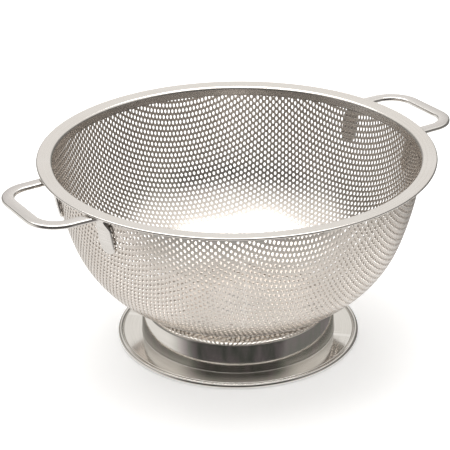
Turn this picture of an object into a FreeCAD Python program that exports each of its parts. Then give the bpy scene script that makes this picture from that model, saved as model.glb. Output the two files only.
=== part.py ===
import FreeCAD, Part
import math
import os
import types

import Sketcher

# A footed sheet-metal strainer: a deep-drawn bowl, a rim ring spot-welded inside its mouth, a
# pressed foot spot-welded under it, and two bar handles spot-welded to its wall. The origin is on
# the table under the bowl's centre, +Z is the bowl's axis, and the handles lie along X.
# The foot carries the bowl, and the ring and the handles follow the bowl's wall.

# Driving sizes, in millimetres and degrees. Every bend is given by its inside radius.
SIZES = {
    # rim
    "sheet": 0.7,              # thickness of the rim's, the bowl's and the foot's sheet
    "rim_radius": 143.0,       # outermost edge of the rim
    "rim_top": 143.6,          # highest point of the rim above the table
    "flange_width": 9.3,       # from the bend at the mouth out to the rim's edge
    "flange_slope": 4.5,       # rise of the flange towards its edge
    "mouth_bend": 1.5,         # bend from the skirt into the flange
    "skirt_height": 4.8,       # height of the skirt that laps inside the bowl's wall
    "hem_bend": 0.15,          # fold of the hem under the flange's edge
    "hem_width": 2.2,          # length of the folded-under strip
    # bowl
    "mouth_lean": 5.8,         # lean of the wall from the vertical at the mouth
    "knee_lean": 19.5,         # lean of the wall where its two curves meet
    "base_height": 25.0,       # underside of the bowl's flat bottom above the table
    "base_radius": 36.3,       # radius of the flat bottom
    # foot
    "neck_radius": 70.3,       # outside of the neck at its shoulder
    "neck_shoulder": 2.3,      # bend from the top plate into the neck
    "neck_lean": 10.0,         # how far the neck leans in at its top; its bottom is upright
    "neck_corner": 0.2,        # bend from the neck into the foot's flange
    "foot_flange": 19.5,       # from the neck's shoulder out to the bead's edge
    "seat_width": 11.3,        # width of the top plate's ring under the bowl's flat bottom
    "groove_shoulder": 0.05,   # bend from the flange down into the groove
    "groove_bend": 0.25,       # bend at the groove's bottom
    "groove_angle": 75.0,      # slope of the groove's sides
    "bead_bend": 1.0,          # roll of the bead
    "bead_curl": 25.0,         # how far the roll goes on past the ring that the foot stands on
    "bead_flat": 1.0,          # width of the ring that the foot stands on
    # handles
    "handle_reach": 32.3,      # how far the handle stands out past the rim
    "handle_width": 79.0,      # overall width across the handle's two legs
    "handle_corner": 15.0,     # bend at the handle's two outer corners
    "bar_width": 9.0,          # width of the bar
    "bar_thick": 3.1,          # thickness of the bar
    "rim_gap": 0.1,            # clearance between the hem and the bar that passes under it
    "leg_bend": 2.0,           # bend of the bar down on to the wall
    "leg_drop": 14.0,          # how far the full bar runs down below its top face
    "leg_overlap": 3.0,        # flat length of the bent leg that lies inside the straight bar
    "tab_width": 13.5,         # width of the flattened end
    "tab_thick": 2.1,          # thickness of the flattened end
    "tab_shift": 1.8,          # how far the flattened end is centred outside the bar's centre
    "shoulder_drop": 4.6,      # upper end of the tab below the bar's top face
    "tab_drop": 30.2,          # lower end of the tab below the bar's top face
    "tab_corner": 5.5,         # radius of the tab's lower corners
}
size = types.SimpleNamespace(**SIZES)

doc = FreeCAD.newDocument("strainer")
sheet = doc.addObject("Spreadsheet::Sheet", "Sizes")
for row, (name, value) in enumerate(SIZES.items(), start=1):
    sheet.set(f"A{row}", name)
    sheet.set(f"B{row}", str(value))
    sheet.setAlias(f"B{row}", name)
doc.recompute()


def value(expression):
    """What an expression on the sheet comes to, as a plain number."""
    result = sheet.evalExpression(expression)
    return getattr(result, "Value", result)


def left(heading):
    """Unit vector to the left of a heading in degrees."""
    angle = math.radians(heading)
    return FreeCAD.Vector(-math.sin(angle), math.cos(angle), 0)


def trace(start, heading, moves):
    """Geometry met in following runs (length,) and tangent bends (radius, turn) from a point.

    Each entry is the line or arc with the vertex numbers of its start and its end.
    """
    found = []
    here = FreeCAD.Vector(start)
    for move in moves:
        if len(move) == 1:
            there = here + left(heading - 90) * move[0]
            found.append((Part.LineSegment(here, there), 1, 2))
        else:
            radius, turn = move
            side = math.copysign(1, turn)
            centre = here + left(heading) * (radius * side)
            first = math.radians(heading - 90 * side)
            last = math.radians(heading + turn - 90 * side)
            circle = Part.Circle(centre, FreeCAD.Vector(0, 0, 1), radius)
            if side > 0:
                found.append((Part.ArcOfCircle(circle, first, last), 1, 2))
            else:
                found.append((Part.ArcOfCircle(circle, last, first), 2, 1))
            heading += turn
            there = centre - left(heading) * (radius * side)
        here = there
    return found


def add_face(sketch, found):
    """Add one traced face, its pieces joined tangent; returns their geometry numbers."""
    ids = [sketch.addGeometry(piece, False) for piece, _, _ in found]
    for i in range(len(ids) - 1):
        sketch.addConstraint(Sketcher.Constraint(
            "Tangent", ids[i], found[i][2], ids[i + 1], found[i + 1][1]))
    return ids


def add_cap(sketch, face, back, face_vertex, back_vertex, is_run):
    """Close the strip between a face and its back, square to both; returns the cap's number."""
    ends = (sketch.getPoint(face, face_vertex), sketch.getPoint(back, back_vertex))
    cap = sketch.addGeometry(Part.LineSegment(*ends), False)
    sketch.addConstraint(Sketcher.Constraint("Coincident", cap, 1, face, face_vertex))
    sketch.addConstraint(Sketcher.Constraint("Coincident", cap, 2, back, back_vertex))
    if is_run:
        sketch.addConstraint(Sketcher.Constraint("Perpendicular", cap, face))
    else:
        sketch.addConstraint(Sketcher.Constraint("PointOnObject", face, 3, cap))
    return cap


def draw_strip(sketch, start, heading, moves, width, side, width_expression):
    """Section of a bent strip: one face as traced, the other at its width to one side of it.

    side is 1 for a back on the face's left and -1 for one on its right. Returns the face's
    geometry numbers; its sizes are dimensioned by the caller.
    """
    face = trace(start, heading, moves)
    back_moves = []
    for move in moves:
        if len(move) == 1:
            back_moves.append(move)
        else:
            back_moves.append((move[0] - width * side * math.copysign(1, move[1]), move[1]))
    back = trace(start + left(heading) * (width * side), heading, back_moves)
    face_ids = add_face(sketch, face)
    back_ids = add_face(sketch, back)
    for move, face_id, back_id in zip(moves, face_ids, back_ids):
        if len(move) == 1:
            sketch.addConstraint(Sketcher.Constraint("Parallel", face_id, back_id))
        else:
            sketch.addConstraint(Sketcher.Constraint("Coincident", face_id, 3, back_id, 3))
    first = add_cap(sketch, face_ids[0], back_ids[0], face[0][1], back[0][1], len(moves[0]) == 1)
    add_cap(sketch, face_ids[-1], back_ids[-1], face[-1][2], back[-1][2], len(moves[-1]) == 1)
    dimension(sketch, "strip", width_expression, "Distance", first)
    return face_ids


def dimension(sketch, name, expression, kind, *where):
    """Add a named dimension that takes its value from the sheet."""
    amount = value(expression)
    if kind == "Angle":
        amount = math.radians(amount)
    number = sketch.addConstraint(Sketcher.Constraint(kind, *where, amount))
    sketch.renameConstraint(number, name)
    sketch.setExpression(f"Constraints.{name}", expression)


def measure(sketch, name, kind, *where):
    """Add a named reference dimension that other sketches can read."""
    number = sketch.addConstraint(Sketcher.Constraint(kind, *where, 1.0))
    sketch.setDriving(number, False)
    sketch.renameConstraint(number, name)


def new_body(name):
    """A sub-part's own body, labelled with its name."""
    body = doc.addObject("PartDesign::Body", name)
    body.Label = name
    return body


def origin_item(body, role):
    """The plane of that role in the body's own origin."""
    return next(item for item in body.Origin.OriginFeatures if item.Role == role)


def new_sketch(body, name, plane):
    """A sketch on one of the body's own origin planes."""
    sketch = body.newObject("Sketcher::SketchObject", name)
    sketch.AttachmentSupport = [(origin_item(body, plane), "")]
    sketch.MapMode = "FlatFace"
    return sketch


def revolve(body, name, sketch, angle=None):
    """Revolve a sketch about the body's Z axis: a full turn, or an angle across its plane."""
    turned = body.newObject("PartDesign::Revolution", name)
    turned.Profile = sketch
    turned.ReferenceAxis = (sketch, ["V_Axis"])
    if angle is None:
        turned.Angle = 360
    else:
        turned.Midplane = True
        turned.setExpression("Angle", angle)
    sketch.Visibility = False
    doc.recompute()
    return turned


# Rim and wall meet at the mouth: the skirt's outside face is the bowl's inside face.
MOUTH_RADIUS = "(Sizes.rim_radius - Sizes.flange_width)"
MOUTH_OUT = "(Sizes.mouth_bend + Sizes.sheet)"
HEM_OUT = "(Sizes.hem_bend + Sizes.sheet)"
MOUTH_ACROSS = f"({MOUTH_RADIUS} - Sizes.mouth_bend * cos(Sizes.mouth_lean * 1 deg))"
MOUTH_UP = (
    f"(Sizes.rim_top - {HEM_OUT}"
    f" - ({MOUTH_OUT} - {HEM_OUT}) * cos(Sizes.flange_slope * 1 deg)"
    f" - tan(Sizes.flange_slope * 1 deg) * (Sizes.flange_width - {HEM_OUT}"
    f" + ({MOUTH_OUT} - {HEM_OUT}) * sin(Sizes.flange_slope * 1 deg))"
    " + Sizes.mouth_bend * sin(Sizes.mouth_lean * 1 deg))"
)
mouth_out = value(MOUTH_OUT)
hem_out = value(HEM_OUT)
mouth_heading = 90 - size.mouth_lean
knee_heading = 90 - size.knee_lean
mouth_point = FreeCAD.Vector(value(MOUTH_ACROSS), value(MOUTH_UP), 0)
bowl_start = FreeCAD.Vector(0, size.base_height + size.sheet, 0)
# The two wall radii carry the curve from the flat bottom to the mouth: two linear equations.
knee_step = left(0) - left(knee_heading)
wall_step = left(knee_heading) - left(mouth_heading)
gap = mouth_point - bowl_start - FreeCAD.Vector(size.base_radius, 0, 0)
share = knee_step.x * wall_step.y - knee_step.y * wall_step.x
knee_radius = (gap.x * wall_step.y - gap.y * wall_step.x) / share
wall_radius = (knee_step.x * gap.y - knee_step.y * gap.x) / share
wall_centre = mouth_point + left(mouth_heading) * wall_radius

# Bowl: its inside face is traced from the axis up to the mouth, the sheet on its right.
bowl = new_body("strainer_bowl")
bowl_profile = new_sketch(bowl, "bowl_profile", "XZ_Plane")
bottom, knee, wall = draw_strip(
    bowl_profile,
    bowl_start,
    0,
    [
        (size.base_radius,),
        (knee_radius, knee_heading),
        (wall_radius, mouth_heading - knee_heading),
    ],
    size.sheet,
    -1,
    "Sizes.sheet",
)
bowl_profile.addConstraint(Sketcher.Constraint("PointOnObject", bottom, 1, -2))
bowl_profile.addConstraint(Sketcher.Constraint("Horizontal", bottom))
dimension(bowl_profile, "floor", "Sizes.base_height + Sizes.sheet", "DistanceY", -1, 1, bottom, 1)
dimension(bowl_profile, "flat", "Sizes.base_radius", "DistanceX", bottom, 1, bottom, 2)
dimension(bowl_profile, "knee_sweep", "90 - Sizes.knee_lean", "Angle", knee)
dimension(bowl_profile, "wall_sweep", "Sizes.knee_lean - Sizes.mouth_lean", "Angle", wall)
dimension(bowl_profile, "mouth_across", MOUTH_ACROSS, "DistanceX", -1, 1, wall, 2)
dimension(bowl_profile, "mouth_up", MOUTH_UP, "DistanceY", -1, 1, wall, 2)
measure(bowl_profile, "wall_radius", "Radius", wall)
measure(bowl_profile, "wall_across", "DistanceX", wall, 3, -1, 1)
measure(bowl_profile, "wall_up", "DistanceY", -1, 1, wall, 3)
revolve(bowl, "bowl_shell", bowl_profile)

# Rim: its inside and top face is traced from the skirt's lower edge up, out over the flange and
# round the hem, the sheet on its right.
slope_up = left(size.flange_slope)
slope_out = left(size.flange_slope - 90)
hem_centre = FreeCAD.Vector(size.rim_radius - hem_out, size.rim_top - hem_out, 0)
skirt_inside = wall_radius - size.sheet
skirt_top = wall_centre - left(mouth_heading) * skirt_inside
skirt_heading = math.degrees(
    math.acos((wall_centre.y - skirt_top.y + size.skirt_height) / skirt_inside))
mouth_centre = mouth_point - left(mouth_heading) * size.mouth_bend
flange_run = (hem_centre - mouth_centre).dot(slope_out)

rim = new_body("rim_ring")
rim_profile = new_sketch(rim, "rim_profile", "XZ_Plane")
skirt, mouth, flange, hem, fold = draw_strip(
    rim_profile,
    wall_centre - left(skirt_heading) * skirt_inside,
    skirt_heading,
    [
        (skirt_inside, mouth_heading - skirt_heading),
        (mouth_out, size.flange_slope - mouth_heading),
        (flange_run,),
        (hem_out, -180),
        (size.hem_width,),
    ],
    size.sheet,
    -1,
    "Sizes.sheet",
)
dimension(rim_profile, "wall_radius", "bowl_profile.Constraints.wall_radius - Sizes.sheet * 1 mm",
          "Radius", skirt)
dimension(rim_profile, "wall_across", "bowl_profile.Constraints.wall_across", "DistanceX",
          skirt, 3, -1, 1)
dimension(rim_profile, "wall_up", "bowl_profile.Constraints.wall_up", "DistanceY",
          -1, 1, skirt, 3)
dimension(rim_profile, "skirt_height", "Sizes.skirt_height", "DistanceY", skirt, 1, skirt, 2)
dimension(rim_profile, "mouth_bend", MOUTH_OUT, "Radius", mouth)
dimension(rim_profile, "mouth_radius", MOUTH_RADIUS, "DistanceX", -1, 1, mouth, 3)
dimension(rim_profile, "hem_bend", HEM_OUT, "Radius", hem)
dimension(rim_profile, "hem_sweep", "180", "Angle", hem)
dimension(rim_profile, "hem_across", "Sizes.rim_radius - " + HEM_OUT, "DistanceX", -1, 1, hem, 3)
dimension(rim_profile, "hem_up", "Sizes.rim_top - " + HEM_OUT, "DistanceY", -1, 1, hem, 3)
dimension(rim_profile, "hem_width", "Sizes.hem_width", "Distance", fold)
revolve(rim, "rim_shell", rim_profile)

# Foot: its outside face is traced from the hole in the top plate down to the rolled bead.
FOOT_RADIUS = "(Sizes.neck_radius + Sizes.foot_flange)"
FOOT_OPENING = "(Sizes.base_radius - Sizes.seat_width)"
SHOULDER_OUT = "(Sizes.neck_shoulder + Sizes.sheet)"
TURN_OUT = "(Sizes.groove_shoulder + Sizes.sheet)"
BEAD_OUT = "(Sizes.bead_bend + Sizes.sheet)"
foot_opening = value(FOOT_OPENING)
shoulder_out = value(SHOULDER_OUT)
turn_out = value(TURN_OUT)
bead_out = value(BEAD_OUT)
shoulder_centre = FreeCAD.Vector(
    size.neck_radius - shoulder_out, size.base_height - shoulder_out, 0)
bead_centre = FreeCAD.Vector(value(FOOT_RADIUS) - bead_out, bead_out, 0)
groove_up = left(size.groove_angle)
groove_down = left(-size.groove_angle)
groove_centre = bead_centre + groove_up * (bead_out + size.groove_bend)
turn_centre = groove_centre - groove_down * (size.groove_bend + turn_out)
flange_height = turn_centre.y + turn_out
neck_top = size.neck_lean - 90
neck_foot = -90
neck_start = shoulder_centre + left(neck_top) * shoulder_out
corner_step = left(neck_foot) - left(0)
neck_step = left(neck_foot) - left(neck_top)
neck_curve = (flange_height - neck_start.y - size.neck_corner * corner_step.y) / neck_step.y
corner_end = neck_start + neck_step * neck_curve + corner_step * size.neck_corner

foot = new_body("foot_ring")
foot_profile = new_sketch(foot, "foot_profile", "XZ_Plane")
plate, shoulder, neck, corner, ledge, turn, groove, bead, stand, curl = draw_strip(
    foot_profile,
    FreeCAD.Vector(foot_opening, size.base_height, 0),
    0,
    [
        (shoulder_centre.x - foot_opening,),
        (shoulder_out, neck_top),
        (neck_curve, neck_foot - neck_top),
        (size.neck_corner, -neck_foot),
        (turn_centre.x - corner_end.x,),
        (turn_out, -size.groove_angle),
        (size.groove_bend, 2 * size.groove_angle),
        (bead_out, -180 - size.groove_angle),
        (size.bead_flat,),
        (bead_out, -size.bead_curl),
    ],
    size.sheet,
    -1,
    "Sizes.sheet",
)
foot_profile.addConstraint(Sketcher.Constraint("Horizontal", plate))
foot_profile.addConstraint(Sketcher.Constraint("Horizontal", ledge))
dimension(foot_profile, "opening", FOOT_OPENING, "DistanceX", -1, 1, plate, 1)
dimension(foot_profile, "top", "Sizes.base_height", "DistanceY", -1, 1, plate, 1)
dimension(foot_profile, "shoulder_bend", SHOULDER_OUT, "Radius", shoulder)
dimension(foot_profile, "shoulder_across", "Sizes.neck_radius - " + SHOULDER_OUT, "DistanceX",
          -1, 1, shoulder, 3)
dimension(foot_profile, "shoulder_sweep", "90 - Sizes.neck_lean", "Angle", shoulder)
dimension(foot_profile, "neck_sweep", "Sizes.neck_lean", "Angle", neck)
dimension(foot_profile, "corner_bend", "Sizes.neck_corner", "Radius", corner)
dimension(foot_profile, "turn_bend", TURN_OUT, "Radius", turn)
dimension(foot_profile, "turn_sweep", "Sizes.groove_angle", "Angle", turn)
dimension(foot_profile, "groove_bend", "Sizes.groove_bend", "Radius", groove)
dimension(foot_profile, "groove_sweep", "2 * Sizes.groove_angle", "Angle", groove)
dimension(foot_profile, "bead_bend", BEAD_OUT, "Radius", bead)
dimension(foot_profile, "bead_across", f"{FOOT_RADIUS} - {BEAD_OUT}", "DistanceX", -1, 1, bead, 3)
dimension(foot_profile, "bead_up", BEAD_OUT, "DistanceY", -1, 1, bead, 3)
dimension(foot_profile, "bead_sweep", "180 + Sizes.groove_angle", "Angle", bead)
dimension(foot_profile, "stand", "Sizes.bead_flat", "Distance", stand)
dimension(foot_profile, "curl_bend", BEAD_OUT, "Radius", curl)
dimension(foot_profile, "curl_sweep", "Sizes.bead_curl", "Angle", curl)
revolve(foot, "foot_shell", foot_profile)

# Handles: the bar passes just under the hem, bends down on to the wall and ends in a wider tab.
BAR_TOP = (
    f"(Sizes.rim_top - {HEM_OUT} * (1 + cos(Sizes.flange_slope * 1 deg))"
    " - Sizes.hem_width * sin(Sizes.flange_slope * 1 deg) - Sizes.rim_gap)"
)
LEG_OFFSET = "((Sizes.handle_width - Sizes.bar_width) / 2)"
LEG_OUT = "(Sizes.leg_bend + Sizes.bar_thick)"
CORNER_OUT = "(Sizes.handle_corner + Sizes.bar_width)"
LENGTH_MATCH = 0.01   # two lengths this close are the same edge
bar_top = value(BAR_TOP)
leg_out = value(LEG_OUT)
corner_out = value(CORNER_OUT)
wall_outside = wall_radius + size.sheet
leg_rise = bar_top - leg_out - wall_centre.y
leg_centre = wall_centre + FreeCAD.Vector(
    math.sqrt((wall_outside + leg_out) ** 2 - leg_rise ** 2), leg_rise, 0)


def heading_at(height):
    """Heading of the wall's outside face where it passes a height."""
    return 90 + math.degrees(math.asin((height - wall_centre.y) / wall_outside))


def wall_strip(body, name, azimuth, low, moves, width, width_expression):
    """Strip against the wall's outside face in the upright plane at an azimuth."""
    sketch = new_sketch(body, name, "XZ_Plane")
    sketch.AttachmentOffset = FreeCAD.Placement(
        FreeCAD.Vector(0, 0, 0), FreeCAD.Rotation(FreeCAD.Vector(0, 1, 0), 0))
    sketch.setExpression("AttachmentOffset.Rotation.Angle", azimuth)
    heading = heading_at(low)
    start = wall_centre - left(heading) * wall_outside
    ids = draw_strip(sketch, start, heading, moves, width, -1, width_expression)
    dimension(sketch, "wall_radius", "bowl_profile.Constraints.wall_radius + Sizes.sheet * 1 mm",
              "Radius", ids[0])
    dimension(sketch, "wall_across", "bowl_profile.Constraints.wall_across", "DistanceX",
              ids[0], 3, -1, 1)
    dimension(sketch, "wall_up", "bowl_profile.Constraints.wall_up", "DistanceY",
              -1, 1, ids[0], 3)
    return sketch, ids


def make_handle(name, turn):
    """One handle on the +X side, its body then turned about Z."""
    body = new_body(name)
    leg_low = bar_top - size.leg_drop
    join = leg_centre - wall_centre
    join_heading = 90 + math.degrees(math.atan2(join.y, join.x))
    leg, (lean, bend, run) = wall_strip(
        body,
        name + "_leg_section",
        f"asin({LEG_OFFSET} / {MOUTH_RADIUS})",
        leg_low,
        [
            (wall_outside, join_heading - heading_at(leg_low)),
            (leg_out, -join_heading),
            (size.leg_overlap,),
        ],
        size.bar_thick,
        "Sizes.bar_thick",
    )
    leg.addConstraint(Sketcher.Constraint("Horizontal", run))
    dimension(leg, "low", BAR_TOP + " - Sizes.leg_drop", "DistanceY", -1, 1, lean, 1)
    dimension(leg, "bend", LEG_OUT, "Radius", bend)
    dimension(leg, "top", BAR_TOP, "DistanceY", -1, 1, run, 1)
    dimension(leg, "overlap", "Sizes.leg_overlap", "Distance", run)
    measure(leg, "bend_across", "DistanceX", -1, 1, bend, 3)
    leg_turn = revolve(body, name + "_leg", leg, f"2 * asin(Sizes.bar_width / 2 / {MOUTH_RADIUS})")

    # The bar's loop, seen from above.
    plan = new_sketch(body, name + "_plan", "XY_Plane")
    plan.setExpression("AttachmentOffset.Base.z", BAR_TOP + " - Sizes.bar_thick")
    bar_start = leg_centre.x - size.leg_overlap
    straight = size.rim_radius + size.handle_reach - corner_out - bar_start
    near_leg, near, grip, far, far_leg = draw_strip(
        plan,
        FreeCAD.Vector(bar_start, -size.handle_width / 2, 0),
        0,
        [
            (straight,),
            (corner_out, 90),
            (size.handle_width - 2 * corner_out,),
            (corner_out, 90),
            (straight,),
        ],
        size.bar_width,
        1,
        "Sizes.bar_width",
    )
    plan.addConstraint(Sketcher.Constraint("Horizontal", near_leg))
    plan.addConstraint(Sketcher.Constraint("Vertical", grip))
    plan.addConstraint(Sketcher.Constraint("Horizontal", far_leg))
    bar_from = f"{leg.Name}.Constraints.bend_across - Sizes.leg_overlap * 1 mm"
    dimension(plan, "near_from", bar_from, "DistanceX", -1, 1, near_leg, 1)
    dimension(plan, "far_from", bar_from, "DistanceX", -1, 1, far_leg, 2)
    dimension(plan, "near_corner", CORNER_OUT, "Radius", near)
    dimension(plan, "far_corner", CORNER_OUT, "Radius", far)
    dimension(plan, "near_side", "Sizes.handle_width / 2", "DistanceY", near_leg, 1, -1, 1)
    dimension(plan, "far_side", "Sizes.handle_width / 2", "DistanceY", -1, 1, far_leg, 2)
    dimension(plan, "reach", "Sizes.rim_radius + Sizes.handle_reach", "DistanceX", -1, 1, grip, 1)
    bar = body.newObject("PartDesign::Pad", name + "_bar")
    bar.Profile = plan
    bar.setExpression("Length", "Sizes.bar_thick")
    plan.Visibility = False
    doc.recompute()

    # The flattened end, spot-welded flat against the wall.
    tab_low = bar_top - size.tab_drop
    tab_high = bar_top - size.shoulder_drop
    tab, (tab_face,) = wall_strip(
        body,
        name + "_tab_section",
        f"asin(({LEG_OFFSET} + Sizes.tab_shift) / {MOUTH_RADIUS})",
        tab_low,
        [(wall_outside, heading_at(tab_high) - heading_at(tab_low))],
        size.tab_thick,
        "Sizes.tab_thick",
    )
    dimension(tab, "low", BAR_TOP + " - Sizes.tab_drop", "DistanceY", -1, 1, tab_face, 1)
    dimension(tab, "high", BAR_TOP + " - Sizes.shoulder_drop", "DistanceY", -1, 1, tab_face, 2)
    tab_turn = revolve(body, name + "_tab", tab, f"2 * asin(Sizes.tab_width / 2 / {MOUTH_RADIUS})")

    # The other leg and tab, across the handle's middle.
    mirrored = body.newObject("PartDesign::Mirrored", name + "_other_side")
    mirrored.Originals = [leg_turn, tab_turn]
    mirrored.MirrorPlane = (origin_item(body, "XZ_Plane"), [""])
    body.Tip = mirrored
    doc.recompute()

    # The tabs' lower corners are rounded.
    corners = []
    for number, edge in enumerate(mirrored.Shape.Edges, start=1):
        is_through = abs(edge.Length - size.tab_thick) < LENGTH_MATCH
        if is_through and edge.CenterOfMass.z < tab_low + size.tab_thick:
            corners.append(f"Edge{number}")
    rounding = body.newObject("PartDesign::Fillet", name + "_rounding")
    rounding.Base = (mirrored, corners)
    rounding.setExpression("Radius", "Sizes.tab_corner")
    body.Tip = rounding
    body.Placement = FreeCAD.Placement(
        FreeCAD.Vector(0, 0, 0), FreeCAD.Rotation(FreeCAD.Vector(0, 0, 1), turn))
    doc.recompute()
    return body


handle_right = make_handle("handle_right", 0)
handle_left = make_handle("handle_left", 180)

# Nothing is written unless every object has recomputed and every sub-part is sound.
doc.recompute()
for item in doc.Objects:
    if "Invalid" in item.State or "Error" in item.State:
        raise RuntimeError(f"{item.Name} did not recompute: {item.State}")
    if item.TypeId == "Sketcher::SketchObject" and not item.FullyConstrained:
        raise RuntimeError(f"{item.Name} is not fully constrained")
sub_parts = (bowl, rim, foot, handle_right, handle_left)
for sub_part in sub_parts:
    shape = sub_part.Shape
    if shape.isNull() or not shape.isValid() or len(shape.Solids) != 1:
        raise RuntimeError(f"{sub_part.Label} is not one sound solid")

os.makedirs("parts", exist_ok=True)
for sub_part in sub_parts:
    sub_part.Shape.exportStep(f"parts/{sub_part.Label}.step")
    print(sub_part.Label, round(sub_part.Shape.Volume), sub_part.Shape.BoundBox)
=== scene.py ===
import math

import bpy
import numpy as np
from mathutils import Matrix, Vector
from mathutils.geometry import delaunay_2d_cdt


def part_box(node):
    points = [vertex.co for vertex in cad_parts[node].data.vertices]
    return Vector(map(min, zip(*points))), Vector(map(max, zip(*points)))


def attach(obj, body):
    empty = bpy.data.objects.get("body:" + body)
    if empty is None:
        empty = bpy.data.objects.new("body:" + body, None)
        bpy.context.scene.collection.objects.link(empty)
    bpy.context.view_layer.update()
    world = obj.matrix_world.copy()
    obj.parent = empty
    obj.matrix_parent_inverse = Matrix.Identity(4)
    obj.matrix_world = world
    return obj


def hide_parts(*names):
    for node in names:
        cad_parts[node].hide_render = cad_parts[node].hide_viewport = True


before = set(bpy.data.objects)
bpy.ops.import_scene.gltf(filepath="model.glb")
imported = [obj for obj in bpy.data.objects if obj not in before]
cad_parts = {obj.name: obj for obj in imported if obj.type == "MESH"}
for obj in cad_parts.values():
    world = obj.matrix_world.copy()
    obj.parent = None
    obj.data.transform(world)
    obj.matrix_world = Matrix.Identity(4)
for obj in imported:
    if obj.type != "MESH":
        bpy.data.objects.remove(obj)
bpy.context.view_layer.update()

# Studio. The strainer stands on a plain white sweep, lit from all round by white walls and a
# soft overhead box. The room behind the camera and to its sides is left dark for the polished
# foot to mirror, which is what makes it look like steel.
scene = bpy.context.scene
scene.view_settings.view_transform = "Standard"

camera_azimuth = math.radians(-122.2)
camera_reach = 1.1077
camera_height = 0.6128
camera_heading = math.radians(58.26)
camera_pitch = math.radians(25.46)
camera_roll = math.radians(-0.69)
lens_mm = 134.4

camera_data = bpy.data.cameras.new("camera")
camera_data.lens = lens_mm
camera_data.sensor_width = 36.0
camera_data.clip_end = 20.0
camera = bpy.data.objects.new("camera", camera_data)
scene.collection.objects.link(camera)
camera.matrix_world = (
    Matrix.Translation((
        camera_reach * math.cos(camera_azimuth),
        camera_reach * math.sin(camera_azimuth),
        camera_height,
    ))
    @ Matrix.Rotation(camera_heading - math.pi / 2, 4, "Z")
    @ Matrix.Rotation(math.pi / 2 - camera_pitch, 4, "X")
    @ Matrix.Rotation(camera_roll, 4, "Z")
)
scene.camera = camera


class Shade:
    """A socket in a node tree. Arithmetic on it adds the Math nodes that work it out."""

    def __init__(self, tree, socket=None):
        self.tree = tree
        self.socket = socket

    def node(self, kind, settings=None, inputs=None, output=0):
        """Add a node, set its settings first, then the values or links of its sockets."""
        made = self.tree.nodes.new(kind)
        for name, setting in (settings or {}).items():
            if name == "stops":
                ramp = made.color_ramp.elements
                while len(ramp) < len(setting):
                    ramp.new(0.5)
                for element, (place, shade) in zip(ramp, setting):
                    element.position = place
                    element.color = (*shade, 1.0) if isinstance(shade, tuple) else (shade,) * 3 + (1.0,)
            else:
                setattr(made, name, setting)
        for name, given in (inputs or {}).items():
            if isinstance(given, Shade):
                self.tree.links.new(given.socket, made.inputs[name])
            else:
                made.inputs[name].default_value = given
        return Shade(self.tree, made.outputs[output])

    def math(self, operation, first, second=0.0):
        return self.node("ShaderNodeMath", {"operation": operation}, {0: first, 1: second})

    def __add__(self, other):
        return self.math("ADD", self, other)

    def __sub__(self, other):
        return self.math("SUBTRACT", self, other)

    def __mul__(self, other):
        return self.math("MULTIPLY", self, other)

    def __rsub__(self, other):
        return self.math("SUBTRACT", other, self)

    __radd__ = __add__
    __rmul__ = __mul__

    def step(self, low, high):
        """0 below low, 1 above high, smooth between them."""
        return self.node(
            "ShaderNodeMapRange",
            {"interpolation_type": "SMOOTHSTEP"},
            {"Value": self, "From Min": low, "From Max": high},
        )


world = bpy.data.worlds.new("studio")
scene.world = world
world.use_nodes = True
sky = Shade(world.node_tree)
way = sky.node("ShaderNodeTexCoord", output="Generated")
towards_camera = (math.cos(camera_azimuth), math.sin(camera_azimuth), 0.0)
facing = sky.node(
    "ShaderNodeVectorMath", {"operation": "DOT_PRODUCT"}, {0: way, 1: towards_camera}, "Value")
height = sky.node("ShaderNodeSeparateXYZ", inputs={0: way}, output="Z")
towards_right = (-towards_camera[1], towards_camera[0], 0.0)
aside = sky.node(
    "ShaderNodeVectorMath", {"operation": "DOT_PRODUCT"}, {0: way, 1: towards_right}, "Value")
upper = 1 - height.step(0.54, 0.68) * 0.60 - height.step(0.66, 0.85) * 0.40
behind_camera = facing.step(0.0, 0.7) * height.step(-0.80, -0.52) * upper
on_the_right = aside.step(0.0, 0.40) * height.step(-0.62, -0.42)
on_the_left = (1 - aside.step(-0.40, 0.0)) * height.step(-0.10, 0.15)
beside = sky.math("MAXIMUM", on_the_right, on_the_left * 0.9) * (1 - height.step(0.44, 0.56)) * 0.86
dark = sky.math("MAXIMUM", behind_camera, beside)
# Upright things in the dark part of the room, a little lighter or darker, greenish or reddish.
upright = sky.node("ShaderNodeVectorMath", {"operation": "MULTIPLY"}, {0: way, 1: (9.0, 9.0, 0.8)})
things = sky.node("ShaderNodeTexNoise", inputs={"Vector": upright, "Scale": 1.0, "Detail": 2.0})
tint = sky.node(
    "ShaderNodeValToRGB",
    {"stops": ((0.40, (0.95, 1.0, 0.90)), (0.60, (1.0, 0.90, 0.92)))},
    {0: things},
)
# The dark part is only there for the steel to mirror; looked at directly, the room is white.
seen_directly = sky.node("ShaderNodeLightPath", output="Is Camera Ray")
dark = dark * (1 - seen_directly)
room = 1 - dark * (0.99 - things * 0.16)
light_colour = (1.0, 0.985, 0.96, 1.0)
room_colour = sky.node(
    "ShaderNodeMix",
    {"data_type": "RGBA"},
    {"Factor": dark, 6: light_colour, 7: tint},
    2,
)
background = world.node_tree.nodes["Background"]
world.node_tree.links.new(room_colour.socket, background.inputs["Color"])
world.node_tree.links.new(room.socket, background.inputs["Strength"])

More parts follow.
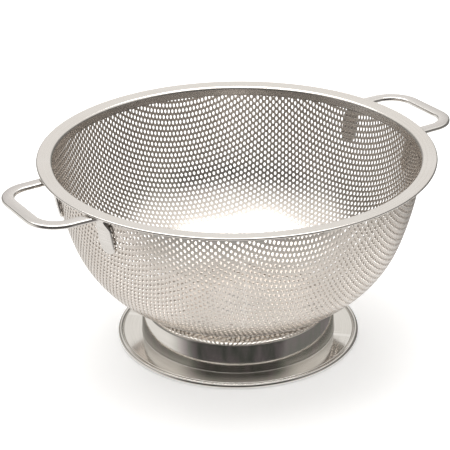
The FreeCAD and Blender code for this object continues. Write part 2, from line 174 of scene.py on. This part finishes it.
floor_half = 6.0
floor_mesh = bpy.data.meshes.new("floor")
floor_mesh.from_pydata(
    [(x * floor_half, y * floor_half, 0) for x, y in ((-1, -1), (1, -1), (1, 1), (-1, 1))],
    [],
    [(0, 1, 2, 3)],
)
floor = bpy.data.objects.new("floor", floor_mesh)
scene.collection.objects.link(floor)
floor.visible_glossy = False
floor_paint = bpy.data.materials.new("floor_paint")
floor_paint.use_nodes = True
floor_shader = floor_paint.node_tree.nodes["Principled BSDF"]
floor_shader.inputs["Base Color"].default_value = (0.96, 0.96, 0.96, 1)
floor_shader.inputs["Roughness"].default_value = 0.9
floor_shader.inputs["Specular IOR Level"].default_value = 0.0
floor_shader.inputs["Emission Color"].default_value = (1, 1, 1, 1)
floor_shader.inputs["Emission Strength"].default_value = 0.27
floor_mesh.materials.append(floor_paint)

overhead_data = bpy.data.lights.new("overhead", "AREA")
overhead_data.shape = "SQUARE"
overhead_data.size = 2.2
overhead_data.energy = 42
overhead = bpy.data.objects.new("overhead", overhead_data)
overhead.location = (0.1, 0.5, 2.2)
overhead.rotation_euler = (-overhead.location).to_track_quat("-Z", "Y").to_euler()
scene.collection.objects.link(overhead)


# Bowl. One disc of stainless sheet is pierced flat, hole by hole, on a hexagonal grid and then
# deep-drawn, so the grid runs straight across the floor and stretches up the wall. The sheet
# keeps its area as it is drawn, and only its cut edge at the mouth is left plain.
MM = 0.001

sheet = 0.7
base_radius = 36.3
knee_lean = 19.5
mouth_lean = 5.8
hole_pitch = 3.97
hole_radius = 1.16
hole_edge = 0.10
grid_turn = math.radians(-12.9)

# The wall ends where the rim's bend begins, so the rim's flange and hem are needed here too.
mouth_bend = 1.5
flange_width = 9.3
flange_slope = 4.5
hem_bend = 0.15

rim_high = Vector(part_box("rim_ring")[1]) / MM
rim_radius = rim_high.x
rim_top = rim_high.z
base_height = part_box("strainer_bowl")[0][2] / MM


def left(heading):
    """Unit vector to the left of a heading in degrees."""
    angle = math.radians(heading)
    return np.array((-math.sin(angle), math.cos(angle)))


def trace(start, heading, moves, longest=2.0, turn_step=7.5, ease=0.12):
    """Points and headings met in following runs (length,) and bends (radius, turn).

    A long run gets a point close to each end, so that its shading stays flat.
    """
    points = [np.array(start, dtype=float)]
    headings = [heading]
    for move in moves:
        here = points[-1]
        if len(move) == 1:
            length = move[0]
            cuts = [ease, length - ease] if length > 4 * ease else []
            for cut in cuts + [length]:
                points.append(here + left(heading - 90) * cut)
                headings.append(heading)
        else:
            radius, turn = move
            side = math.copysign(1, turn)
            centre = here + left(heading) * radius * side
            sweep = radius * math.radians(abs(turn))
            steps = max(2, math.ceil(abs(turn) / turn_step), math.ceil(sweep / longest))
            for i in range(1, steps + 1):
                now = heading + turn * i / steps
                points.append(centre - left(now) * radius * side)
                headings.append(now)
            heading += turn
    return np.array(points), np.array(headings)


def strip(start, heading, moves, width):
    """Closed outline of a bent strip: its face as traced, then its back on the face's right."""
    back_moves = [m if len(m) == 1 else (m[0] + width * math.copysign(1, m[1]), m[1]) for m in moves]
    face, _ = trace(start, heading, moves)
    back, _ = trace(start - left(heading) * width, heading, back_moves)
    return face, back[::-1]


mouth_radius = rim_radius - flange_width
mouth_out = mouth_bend + sheet
hem_out = hem_bend + sheet
mouth_heading = 90 - mouth_lean
knee_heading = 90 - knee_lean
slope_up = left(flange_slope)
slope_out = left(flange_slope - 90)
hem_centre = np.array((rim_radius - hem_out, rim_top - hem_out))
flange_run = (hem_centre[0] - mouth_radius - (mouth_out - hem_out) * slope_up[0]) / slope_out[0]
mouth_centre = hem_centre + slope_up * (hem_out - mouth_out) - slope_out * flange_run
mouth_point = mouth_centre + left(mouth_heading) * mouth_bend
bowl_start = np.array((0.0, base_height + sheet))

# The knee's and the wall's radii are such that their arcs just span the gap up to the mouth.
knee_step = left(0) - left(knee_heading)
wall_step = left(knee_heading) - left(mouth_heading)
gap = mouth_point - bowl_start - np.array((base_radius, 0.0))
cross = knee_step[0] * wall_step[1] - knee_step[1] * wall_step[0]
knee_radius = (gap[0] * wall_step[1] - gap[1] * wall_step[0]) / cross
wall_radius = (knee_step[0] * gap[1] - knee_step[1] * gap[0]) / cross
wall_centre = mouth_point + left(mouth_heading) * wall_radius

# The drawn wall, traced finely along the middle of its sheet, and the disc radius of each point.
drawn, drawn_heading = trace(
    bowl_start - np.array((0.0, sheet / 2)),
    0,
    [
        (base_radius,),
        (knee_radius + sheet / 2, knee_heading),
        (wall_radius + sheet / 2, mouth_heading - knee_heading),
    ],
    longest=0.2,
)
lengths = np.hypot(*np.diff(drawn, axis=0).T)
areas = np.concatenate(((0.0,), np.cumsum(lengths * (drawn[1:, 0] + drawn[:-1, 0]))))
disc_radius = np.sqrt(areas)


def draw_into_bowl(flat, depth):
    """Carry points of the flat disc on to the drawn bowl, at a depth out from its inside face."""
    reach = np.hypot(flat[:, 0], flat[:, 1])
    turn = np.arctan2(flat[:, 1], flat[:, 0])
    across = np.interp(reach, disc_radius, drawn[:, 0])
    up = np.interp(reach, disc_radius, drawn[:, 1])
    slant = np.radians(np.interp(reach, disc_radius, drawn_heading))
    across = across + np.sin(slant) * (depth - sheet / 2)
    up = up - np.cos(slant) * (depth - sheet / 2)
    return np.column_stack((across * np.cos(turn), across * np.sin(turn), up)) * MM


def add_piece(name, points, faces, node, material, flat=None, sides=None):
    """A smooth mesh of mixed faces with its sharp edges kept, as one piece of the object.

    flat gives each point's place on the flat sheet and sides says which faces are its back; the
    two sides are then laid out beside each other in the piece's own map.
    """
    mesh = bpy.data.meshes.new(name)
    mesh.vertices.add(len(points))
    mesh.vertices.foreach_set("co", np.asarray(points, dtype=np.float32).ravel())
    counts = np.concatenate([np.full(len(f), f.shape[1], dtype=np.int32) for f in faces])
    corners = np.concatenate([f.ravel() for f in faces]).astype(np.int32)
    mesh.loops.add(len(corners))
    mesh.loops.foreach_set("vertex_index", corners)
    mesh.polygons.add(len(counts))
    mesh.polygons.foreach_set("loop_start", np.concatenate(((0,), np.cumsum(counts)[:-1])).astype(np.int32))
    mesh.update(calc_edges=True)
    if flat is not None:
        low = flat.min(axis=0)
        spread = (flat - low) / (flat.max(axis=0) - low) * (0.48, 0.98) + 0.01
        laid = spread[corners]
        laid[:, 0] += 0.5 * np.repeat(sides, counts)
        mesh.uv_layers.new(name="OFBake").data.foreach_set("uv", laid.astype(np.float32).ravel())
    mesh.validate()
    mesh.shade_smooth()
    mesh.set_sharp_from_angle(angle=math.radians(35.0))
    piece = bpy.data.objects.new(name, mesh)
    scene.collection.objects.link(piece)
    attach(piece, "root")
    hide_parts(node)
    mesh.materials.append(material)
    return piece


def turned_lines(shade, along, across):
    """Noise drawn out round the axis: its changes per radian and per metre across the lines."""
    place = shade.node("ShaderNodeTexCoord", output="Object")
    flat = shade.node("ShaderNodeVectorMath", {"operation": "MULTIPLY"}, {0: place, 1: (1, 1, 0)})
    around = shade.node("ShaderNodeVectorMath", {"operation": "NORMALIZE"}, {0: flat})
    reach = shade.node("ShaderNodeVectorMath", {"operation": "LENGTH"}, {0: flat}, "Value")
    rise = shade.node("ShaderNodeSeparateXYZ", inputs={0: place}, output="Z")
    run = shade.node("ShaderNodeVectorMath", {"operation": "SCALE"}, {0: around, "Scale": along})
    depth = shade.node("ShaderNodeCombineXYZ", inputs={"Z": (reach + rise) * across})
    where = shade.node("ShaderNodeVectorMath", {"operation": "ADD"}, {0: run, 1: depth})
    return shade.node("ShaderNodeTexNoise", inputs={"Vector": where, "Scale": 1.0, "Detail": 3.0})


def new_metal(name, dull, bright, smoothest, roughest, along, across, relief):
    """Bare steel: polishing lines, fine grain, smudges, bright worn edges, and painted shade that darkens
    the grooves and hollows.
    """
    metal = bpy.data.materials.new(name)
    metal.use_nodes = True
    shader = metal.node_tree.nodes["Principled BSDF"]
    shader.inputs["Metallic"].default_value = 1.0
    shade = Shade(metal.node_tree)
    place = shade.node("ShaderNodeTexCoord", output="Object")
    lines = turned_lines(shade, along, across)
    grain = shade.node("ShaderNodeTexNoise", inputs={"Vector": place, "Scale": 1500.0, "Detail": 2.0})
    smudge = shade.node("ShaderNodeTexNoise", inputs={"Vector": place, "Scale": 26.0, "Detail": 5.0})
    bend = shade.node("ShaderNodeNewGeometry", output="Pointiness")
    edge = bend.step(0.53, 0.62)
    # Painted shade: where the surface is hollow (low Pointiness), in grooves and creases, the base colour
    # is taken towards near black in place of the shade that falls there.
    painted_groove_shade = 1 - bend.step(0.36, 0.46)
    shine = lines * 0.45 + smudge * 0.40 + grain * 0.15
    rough = smoothest + shine.step(0.30, 0.70) * (roughest - smoothest)
    rough = rough * (1 - edge * 0.4)
    colour = shade.node(
        "ShaderNodeMix",
        {"data_type": "RGBA"},
        {"Factor": shine.step(0.35, 0.65), 6: (*bright, 1.0), 7: (*dull, 1.0)},
        2,
    )
    worn = shade.node(
        "ShaderNodeMix",
        {"data_type": "RGBA"},
        {"Factor": edge * 0.5, 6: colour, 7: (0.84, 0.82, 0.79, 1.0)},
        2,
    )
    # The painted shade of the grooves and hollows is mixed into the base colour here.
    colour_with_painted_shade = shade.node(
        "ShaderNodeMix",
        {"data_type": "RGBA"},
        {"Factor": painted_groove_shade * 0.85, 6: worn, 7: (0.10, 0.095, 0.09, 1.0)},
        2,
    )
    bump = shade.node(
        "ShaderNodeBump",
        inputs={"Height": lines * 0.7 + grain * 0.3, "Strength": relief, "Distance": 0.0001},
    )
    metal.node_tree.links.new(colour_with_painted_shade.socket, shader.inputs["Base Color"])
    metal.node_tree.links.new(rough.socket, shader.inputs["Roughness"])
    metal.node_tree.links.new(bump.socket, shader.inputs["Normal"])
    return metal


bowl_steel = new_metal(
    "bowl_steel", (0.66, 0.615, 0.57), (0.74, 0.69, 0.645), 0.20, 0.32, 3.0, 2200.0, 0.20)

# Centres of the grid's holes, from the middle of the disc out to the unpierced edge.
least_edge = 0.3
grid_reach = disc_radius[-1] - hole_pitch / math.sqrt(3) - least_edge
count = math.ceil(grid_reach / (hole_pitch * math.sqrt(0.75))) + 1
across_step = np.array((math.cos(grid_turn), math.sin(grid_turn))) * hole_pitch
up_step = np.array((math.cos(grid_turn + math.pi / 3), math.sin(grid_turn + math.pi / 3))) * hole_pitch
steps = np.array([(i, j) for i in range(-2 * count, 2 * count) for j in range(-2 * count, 2 * count)])
centres = steps[:, :1] * across_step + steps[:, 1:] * up_step
kept = np.hypot(centres[:, 0], centres[:, 1]) < grid_reach
steps = steps[kept]
centres = centres[kept]

# Each hole sits in a six-sided cell; neighbouring cells share their corners.
HOLE_SIDES = 12
corner_turns = grid_turn + math.pi / 6 + np.arange(6) * math.pi / 3
corner_offsets = np.column_stack((np.cos(corner_turns), np.sin(corner_turns))) * hole_pitch / math.sqrt(3)
hole_turns = grid_turn + math.pi / 6 + np.arange(HOLE_SIDES) * 2 * math.pi / HOLE_SIDES
hole_ring = np.column_stack((np.cos(hole_turns), np.sin(hole_turns)))
cell_corners = centres[:, None, :] + corner_offsets[None, :, :]
all_corners = cell_corners.reshape(-1, 2)
# The same corner worked out from two cells differs a little, so both are rounded to find it.
rounded = np.round(all_corners * 40 / hole_pitch).astype(np.int64)
_, first_seen, corner_number = np.unique(rounded, axis=0, return_index=True, return_inverse=True)
corner_points = all_corners[first_seen]
corner_number = corner_number.reshape(-1, 6)


def border_edges(cells):
    """Edges that only one of the cells has, in the order that keeps the cell on their left."""
    starts = corner_number[cells]
    ends = np.roll(starts, -1, axis=1)
    pairs = np.column_stack((starts.ravel(), ends.ravel()))
    ordered = np.sort(pairs, axis=1)
    _, number, times = np.unique(ordered, axis=0, return_inverse=True, return_counts=True)
    return pairs[times[number.ravel()] == 1]


def pierced_sheet(cells):
    """One closed patch of pierced, drawn sheet: its points, its faces, where each point lies on
    the flat sheet, and which faces are the sheet's back.

    A hole's two inner rings are laid a little smaller than they are, to give its wall some room.
    """
    used, local = np.unique(corner_number[cells], return_inverse=True)
    local = local.reshape(-1, 6)
    many = len(used)
    points = [draw_into_bowl(corner_points[used], 0.0), draw_into_bowl(corner_points[used], sheet)]
    laid = [corner_points[used], corner_points[used]]
    rings = []
    start = 2 * many
    for depth, radius, laid_radius in (
        (0.0, hole_radius + hole_edge, hole_radius + hole_edge),
        (hole_edge, hole_radius, hole_radius * 0.9),
        (sheet - hole_edge, hole_radius, hole_radius * 0.5),
        (sheet, hole_radius + hole_edge, hole_radius + hole_edge),
    ):
        flat = centres[cells][:, None, :] + hole_ring[None, :, :] * radius
        points.append(draw_into_bowl(flat.reshape(-1, 2), depth))
        flat = centres[cells][:, None, :] + hole_ring[None, :, :] * laid_radius
        laid.append(flat.reshape(-1, 2))
        rings.append(start + np.arange(len(cells) * HOLE_SIDES).reshape(-1, HOLE_SIDES))
        start += len(cells) * HOLE_SIDES
    pentagons = []
    for k in range(6):
        after = (k + 1) % 6
        near, middle, far = 2 * k, 2 * k + 1, (2 * k + 2) % HOLE_SIDES
        inside = (local[:, k], local[:, after], rings[0][:, far], rings[0][:, middle], rings[0][:, near])
        pentagons.append(np.column_stack(inside))
        outside = (
            local[:, after] + many, local[:, k] + many,
            rings[3][:, near], rings[3][:, middle], rings[3][:, far])
        pentagons.append(np.column_stack(outside))
    quads = []
    for upper, lower in zip(rings, rings[1:]):
        upper_next = np.roll(upper, -1, axis=1)
        lower_next = np.roll(lower, -1, axis=1)
        quads.append(np.column_stack(
            (upper.ravel(), upper_next.ravel(), lower_next.ravel(), lower.ravel())))
    border = np.searchsorted(used, border_edges(cells))
    quads.append(np.column_stack(
        (border[:, 1], border[:, 0], border[:, 0] + many, border[:, 1] + many)))
    sides = np.concatenate((
        np.repeat(np.tile((False, True), 6), len(cells)),
        np.repeat((False, False, True), len(cells) * HOLE_SIDES),
        np.full(len(border), False),
    ))
    faces = [np.concatenate(pentagons), np.concatenate(quads)]
    return np.concatenate(points), faces, np.concatenate(laid), sides


# The pierced sheet is made in six sectors, so that no single mesh gets too heavy.
SECTORS = 6
sector = np.floor((np.arctan2(centres[:, 1], centres[:, 0]) / (2 * math.pi) + 1) * SECTORS) % SECTORS
for number in range(SECTORS):
    points, faces, flat, sides = pierced_sheet(np.flatnonzero(sector == number))
    add_piece(
        f"bowl_pierced_{number + 1}", points, faces,
        "strainer_bowl", bowl_steel, flat, sides)


# The bowl's edge: the plain sheet between the last cells and the cut at the mouth.
ROUND = 360
ring_turns = np.arange(ROUND) * 2 * math.pi / ROUND
border = border_edges(np.arange(len(centres)))
border_used, border_local = np.unique(border, return_inverse=True)
border_local = border_local.reshape(-1, 2)
ring_flat = np.column_stack((np.cos(ring_turns), np.sin(ring_turns))) * disc_radius[-1]
flat_points = np.concatenate((corner_points[border_used], ring_flat))
ring_numbers = len(border_used) + np.arange(ROUND)
ring_edges = np.column_stack((ring_numbers, np.roll(ring_numbers, -1)))
flat_edges = border_local.tolist() + ring_edges.tolist()
found = delaunay_2d_cdt([Vector(p) for p in flat_points.tolist()], flat_edges, [], 0, 1e-6)
flat_found = np.array([tuple(p) for p in found[0]])
triangles = np.array(found[2])
to_grid = np.linalg.inv(np.column_stack((across_step, up_step)))
middles = flat_found[triangles].mean(axis=1)
nearest = np.round(middles @ to_grid.T)
# The rounded grid place is not always the nearest hole, so its neighbours are tried too.
neighbours = np.array([(0, 0), (1, 0), (0, 1), (-1, 0), (0, -1), (1, -1), (-1, 1)])
tries = nearest[:, None, :] + neighbours[None, :, :]
places = tries @ np.stack((across_step, up_step))
best = np.argmin(np.hypot(*(places - middles[:, None, :]).transpose(2, 0, 1)), axis=1)
closest = tries[np.arange(len(tries)), best]
holes = {tuple(step) for step in steps.tolist()}
plain = np.array([tuple(int(v) for v in step) not in holes for step in closest])
triangles = triangles[plain]
many = len(flat_found)
edge_points = np.concatenate((draw_into_bowl(flat_found, 0.0), draw_into_bowl(flat_found, sheet)))
edge_faces = np.concatenate((triangles, triangles[:, ::-1] + many))
inner_sides = np.column_stack((
    border_local[:, 0], border_local[:, 1], border_local[:, 1] + many, border_local[:, 0] + many))
outer_sides = np.column_stack((
    ring_edges[:, 1], ring_edges[:, 0], ring_edges[:, 0] + many, ring_edges[:, 1] + many))
add_piece(
    "bowl_edge", edge_points, [edge_faces, np.concatenate((inner_sides, outer_sides))],
    "strainer_bowl", bowl_steel)


# Rim. A ring of plain sheet spot-welded inside the bowl's mouth: its skirt laps the wall and cuts
# across the top holes, its wide flange rises slightly, and its edge is folded under in a flat hem.
skirt_height = 4.8
hem_width = 2.2

skirt_inside = wall_radius - sheet
skirt_top = wall_centre - left(mouth_heading) * skirt_inside
skirt_heading = math.degrees(
    math.acos((wall_centre[1] - skirt_top[1] + skirt_height) / skirt_inside))
rim_face, rim_back = strip(
    wall_centre - left(skirt_heading) * skirt_inside,
    skirt_heading,
    [
        (skirt_inside, mouth_heading - skirt_heading),
        (mouth_out, flange_slope - mouth_heading),
        (flange_run,),
        (hem_out, -180),
        (hem_width,),
    ],
    sheet,
)


def lathe(outline):
    """Points and faces of a closed outline turned about Z."""
    turned = np.column_stack((
        np.outer(np.cos(ring_turns), outline[:, 0]).ravel(),
        np.outer(np.sin(ring_turns), outline[:, 0]).ravel(),
        np.tile(outline[:, 1], ROUND),
    ))
    number = np.arange(ROUND * len(outline)).reshape(ROUND, -1)
    number = np.column_stack((number, number[:, 0]))
    after = np.roll(number, -1, axis=0)
    faces = np.column_stack((
        number[:, :-1].ravel(), after[:, :-1].ravel(), after[:, 1:].ravel(), number[:, 1:].ravel()))
    return turned * MM, faces


rim_steel = new_metal(
    "rim_steel", (0.68, 0.645, 0.605), (0.75, 0.72, 0.69), 0.12, 0.26, 2.0, 2600.0, 0.15)
rim_points, rim_faces = lathe(np.concatenate((rim_face, rim_back)))
add_piece("rim", rim_points, [rim_faces], "rim_ring", rim_steel)


# Foot. A shallow pan pressed from the same sheet, upside down: its bottom is spot-welded under
# the bowl, its side is the neck, and its rim is a flat ledge with a groove and a rolled bead.
neck_radius = 70.3
neck_shoulder = 2.3
neck_lean = 10.0
neck_corner = 0.2
seat_width = 11.3
groove_shoulder = 0.05
groove_bend = 0.25
groove_angle = 75.0
bead_bend = 1.0
bead_curl = 25.0
bead_flat = 1.0

foot_low, foot_high = (Vector(corner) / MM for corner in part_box("foot_ring"))
foot_radius = foot_high.x
shoulder_out = neck_shoulder + sheet
turn_out = groove_shoulder + sheet
bead_out = bead_bend + sheet
shoulder_centre = np.array((neck_radius - shoulder_out, foot_high.z - shoulder_out))
bead_centre = np.array((foot_radius - bead_out, foot_low.z + bead_out))
groove_centre = bead_centre + left(groove_angle) * (bead_out + groove_bend)
turn_centre = groove_centre - left(-groove_angle) * (groove_bend + turn_out)
ledge_height = turn_centre[1] + turn_out
neck_top = neck_lean - 90
neck_foot = -90
neck_start = shoulder_centre + left(neck_top) * shoulder_out
corner_step = left(neck_foot) - left(0)
neck_step = left(neck_foot) - left(neck_top)
neck_curve = (ledge_height - neck_start[1] - neck_corner * corner_step[1]) / neck_step[1]
corner_end = neck_start + neck_step * neck_curve + corner_step * neck_corner
opening = base_radius - seat_width
foot_face, foot_back = strip(
    (opening, foot_high.z),
    0,
    [
        (shoulder_centre[0] - opening,),
        (shoulder_out, neck_top),
        (neck_curve, neck_foot - neck_top),
        (neck_corner, -neck_foot),
        (turn_centre[0] - corner_end[0],),
        (turn_out, -groove_angle),
        (groove_bend, 2 * groove_angle),
        (bead_out, -180 - groove_angle),
        (bead_flat,),
        (bead_out, -bead_curl),
    ],
    sheet,
)
foot_steel = new_metal(
    "foot_steel", (0.67, 0.645, 0.605), (0.73, 0.705, 0.67), 0.05, 0.15, 2.0, 2600.0, 0.06)
foot_points, foot_faces = lathe(np.concatenate((foot_face, foot_back)))
add_piece("foot", foot_points, [foot_faces], "foot_ring", foot_steel)


# Handles. Each is one flat bar with softly rounded edges, bent to a loop in its own plane, then
# bent down under the rim; its ends are hammered wider and thinner and spot-welded to the wall.
handle_width = 79.0
handle_corner = 15.0
bar_width = 9.0
bar_thick = 3.1
bar_round = 1.15
leg_bend = 2.0
tab_width = 13.5
tab_thick = 2.1
tab_shift = 1.8
tab_round = 5.5
tab_spread = 7.0
tab_start = 1.0
tab_clear = 0.3
grip_steps = 4
corner_steps = 24
leg_steps = 6
bend_steps = 14
tab_steps = 40

handle_steel = new_metal(
    "handle_steel", (0.70, 0.675, 0.645), (0.78, 0.755, 0.73), 0.12, 0.24, 14.0, 900.0, 0.15)
handle_low, handle_high = (Vector(corner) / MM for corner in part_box("handle_right"))
bar_middle = handle_high.z - bar_thick / 2
grip_middle = handle_high.x - bar_width / 2
leg_side = (handle_width - bar_width) / 2
corner_middle = handle_corner + bar_width / 2
wall_out = wall_radius + sheet
tab_azimuth = math.asin((leg_side + tab_shift) / mouth_radius)


def smooth(share):
    """0 to 1 with flat ends."""
    share = min(max(share, 0.0), 1.0)
    return share * share * (3 - 2 * share)


def wall_place(azimuth, height, lift):
    """Point at a lift off the wall's outside face, with its outward and downward directions."""
    slant = math.asin((height - wall_centre[1]) / wall_out)
    outward = np.array((
        math.cos(slant) * math.cos(azimuth), math.cos(slant) * math.sin(azimuth), math.sin(slant)))
    down = np.array((
        math.sin(slant) * math.cos(azimuth), math.sin(slant) * math.sin(azimuth), -math.cos(slant)))
    reach = wall_centre[0] + (wall_out + lift) * math.cos(slant)
    place = np.array((
        reach * math.cos(azimuth), reach * math.sin(azimuth),
        wall_centre[1] + (wall_out + lift) * math.sin(slant)))
    return place, outward, down


def half_handle():
    """Stations from the grip's middle to the tab's end: place, forward, face direction, sizes."""
    stations = []
    up = np.array((0.0, 0.0, 1.0))
    side_run = leg_side - corner_middle
    for k in range(grip_steps):
        place = np.array((grip_middle, side_run * k / grip_steps, bar_middle))
        stations.append((place, np.array((0.0, 1.0, 0.0)), up, bar_width, bar_thick))
    corner = np.array((grip_middle - corner_middle, side_run))
    for k in range(corner_steps + 1):
        turn = math.pi / 2 * k / corner_steps
        place = corner + corner_middle * np.array((math.cos(turn), math.sin(turn)))
        forward = np.array((-math.sin(turn), math.cos(turn), 0.0))
        stations.append((np.array((*place, bar_middle)), forward, up, bar_width, bar_thick))
    # The bend goes from the bar's direction to the wall's, turning to face out as it goes.
    bend_middle = leg_bend + bar_thick / 2
    end = wall_place(tab_azimuth, bar_middle - bend_middle - tab_start, bar_thick / 2)[0]
    end = end + np.array((math.sin(tab_azimuth), -math.cos(tab_azimuth), 0.0)) * tab_shift
    path = [np.zeros(3)]
    frames = []
    for k in range(bend_steps + 1):
        share = k / bend_steps
        heading = math.radians(90 - mouth_lean) * share
        azimuth = tab_azimuth * smooth(share)
        out = np.array((math.cos(azimuth), math.sin(azimuth), 0.0))
        frames.append((-out * math.cos(heading) - up * math.sin(heading),
                       up * math.cos(heading) + out * math.sin(heading)))
        if k:
            span = math.radians(90 - mouth_lean) * bend_middle / bend_steps
            path.append(path[-1] + (frames[-1][0] + frames[-2][0]) / 2 * span)
    start = end - path[-1]
    start[2] = bar_middle
    leg_from = grip_middle - corner_middle
    for k in range(1, leg_steps):
        share = k / leg_steps
        place = np.array((
            leg_from + (start[0] - leg_from) * share,
            leg_side + (start[1] - leg_side) * smooth(share),
            bar_middle,
        ))
        stations.append((place, np.array((-1.0, 0.0, 0.0)), up, bar_width, bar_thick))
    for place, (forward, facing) in zip(path, frames):
        stations.append((start + place, forward, facing, bar_width, bar_thick))
    low = handle_low.z + tab_clear
    high = (start + path[-1])[2]
    drop = high - low
    for k in range(1, tab_steps + 1):
        down_by = drop * k / tab_steps
        spread = smooth(down_by / tab_spread)
        width = bar_width + (tab_width - bar_width) * spread
        thick = bar_thick + (tab_thick - bar_thick) * spread
        left_over = drop - down_by
        if left_over < tab_round:
            width -= 2 * (tab_round - math.sqrt(max(tab_round ** 2 - (tab_round - left_over) ** 2, 0.0)))
        place, outward, down = wall_place(tab_azimuth, high - down_by, thick / 2)
        side = np.array((-math.sin(tab_azimuth), math.cos(tab_azimuth), 0.0))
        place = place - side * tab_shift * (1 - spread)
        stations.append((place, down, outward, width, thick))
    return stations


def bar_section(width, thick):
    """Rounded outline of the bar, across and through."""
    radius = min(bar_round, thick / 2 - 0.02, width / 2 - 0.02)
    points = []
    for quarter, (x, y) in enumerate(((1, 1), (-1, 1), (-1, -1), (1, -1))):
        middle = np.array((x * (width / 2 - radius), y * (thick / 2 - radius)))
        for k in range(7):
            turn = math.pi / 2 * (quarter + k / 6)
            points.append(middle + radius * np.array((math.cos(turn), math.sin(turn))))
    return points


half = half_handle()
flip = np.array((1.0, -1.0, 1.0))
other = [(p * flip, -f * flip, n * flip, w, t) for p, f, n, w, t in half[:0:-1]]
stations = other + half
for name, sign in (("handle_right", 1.0), ("handle_left", -1.0)):
    rows = []
    for place, forward, facing, width, thick in stations:
        forward = forward / np.linalg.norm(forward)
        across = np.cross(facing, forward)
        across = across / np.linalg.norm(across)
        facing = np.cross(forward, across)
        rows.append([place + across * x + facing * y for x, y in bar_section(width, thick)])
    points = np.array(rows) * MM
    points[..., :2] *= sign
    length, around_bar = points.shape[:2]
    number = np.arange(length * around_bar).reshape(length, around_bar)
    after = np.roll(number, -1, axis=1)
    sides = np.column_stack((
        number[:-1].ravel(), after[:-1].ravel(), after[1:].ravel(), number[1:].ravel()))
    caps = np.stack((number[0][::-1], number[-1]))
    add_piece(name + "_bar", points.reshape(-1, 3), [sides, caps], name, handle_steel)
